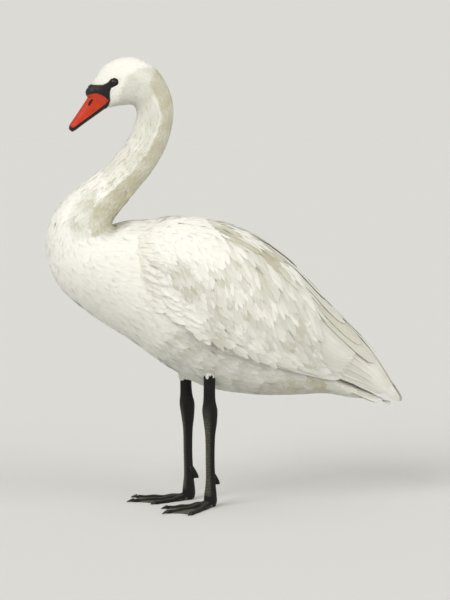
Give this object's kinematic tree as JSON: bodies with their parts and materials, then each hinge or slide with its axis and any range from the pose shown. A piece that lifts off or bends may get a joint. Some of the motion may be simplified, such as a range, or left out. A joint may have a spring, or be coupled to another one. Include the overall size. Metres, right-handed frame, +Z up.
{
  "type": "mute swan",
  "caption": "Life-size still model of a mute swan standing at rest, neck in an S curve, bill lowered, wings folded, on two webbed feet.",
  "frame": {"origin": "on the floor under the middle of the bird's bounding box", "axes": "+Z up, the bird faces -X, its left side is -Y"},
  "size_m": [0.6374, 0.3062, 0.78],
  "materials": {
    "plumage": "soft white feathers with warm grey shade between them",
    "flight_feathers": "smooth white vanes with fine barbs and pale shafts",
    "bare_face": "black bare skin, slightly moist",
    "bill_orange": "orange-red horn, satin",
    "black_horn": "black horn, satin",
    "eye": "very dark brown, wet gloss",
    "leg_skin": "black scaled skin with grey-olive worn scales"
  },
  "bodies": {
    "root": {"head": "plumage", "eye_left": "eye", "eye_right": "eye", "neck_upper": "plumage", "neck_middle": "plumage", "neck_lower": "plumage", "breast": "plumage", "trunk": "plumage", "rump": "plumage", "bill_upper": "bill_orange", "bill_nail": "black_horn", "bill_lower": "black_horn", "lore_left": "bare_face", "lore_right": "bare_face", "bill_knob": "black_horn", "wing_left_coverts": "plumage", "wing_right_coverts": "plumage", "wing_left_tertials": "flight_feathers", "wing_right_tertials": "flight_feathers", "wing_left_secondaries": "flight_feathers", "wing_right_secondaries": "flight_feathers", "wing_left_primaries": "flight_feathers", "wing_right_primaries": "flight_feathers", "tail": "flight_feathers", "thigh_left": "plumage", "shank_left": "leg_skin", "tarsus_left": "leg_skin", "foot_left": "leg_skin", "claw_left_inner": "black_horn", "claw_left_middle": "black_horn", "claw_left_outer": "black_horn", "hind_toe_left": "leg_skin", "thigh_right": "plumage", "shank_right": "leg_skin", "tarsus_right": "leg_skin", "foot_right": "leg_skin", "claw_right_inner": "black_horn", "claw_right_middle": "black_horn", "claw_right_outer": "black_horn", "hind_toe_right": "leg_skin"}
  },
  "joints": []
}
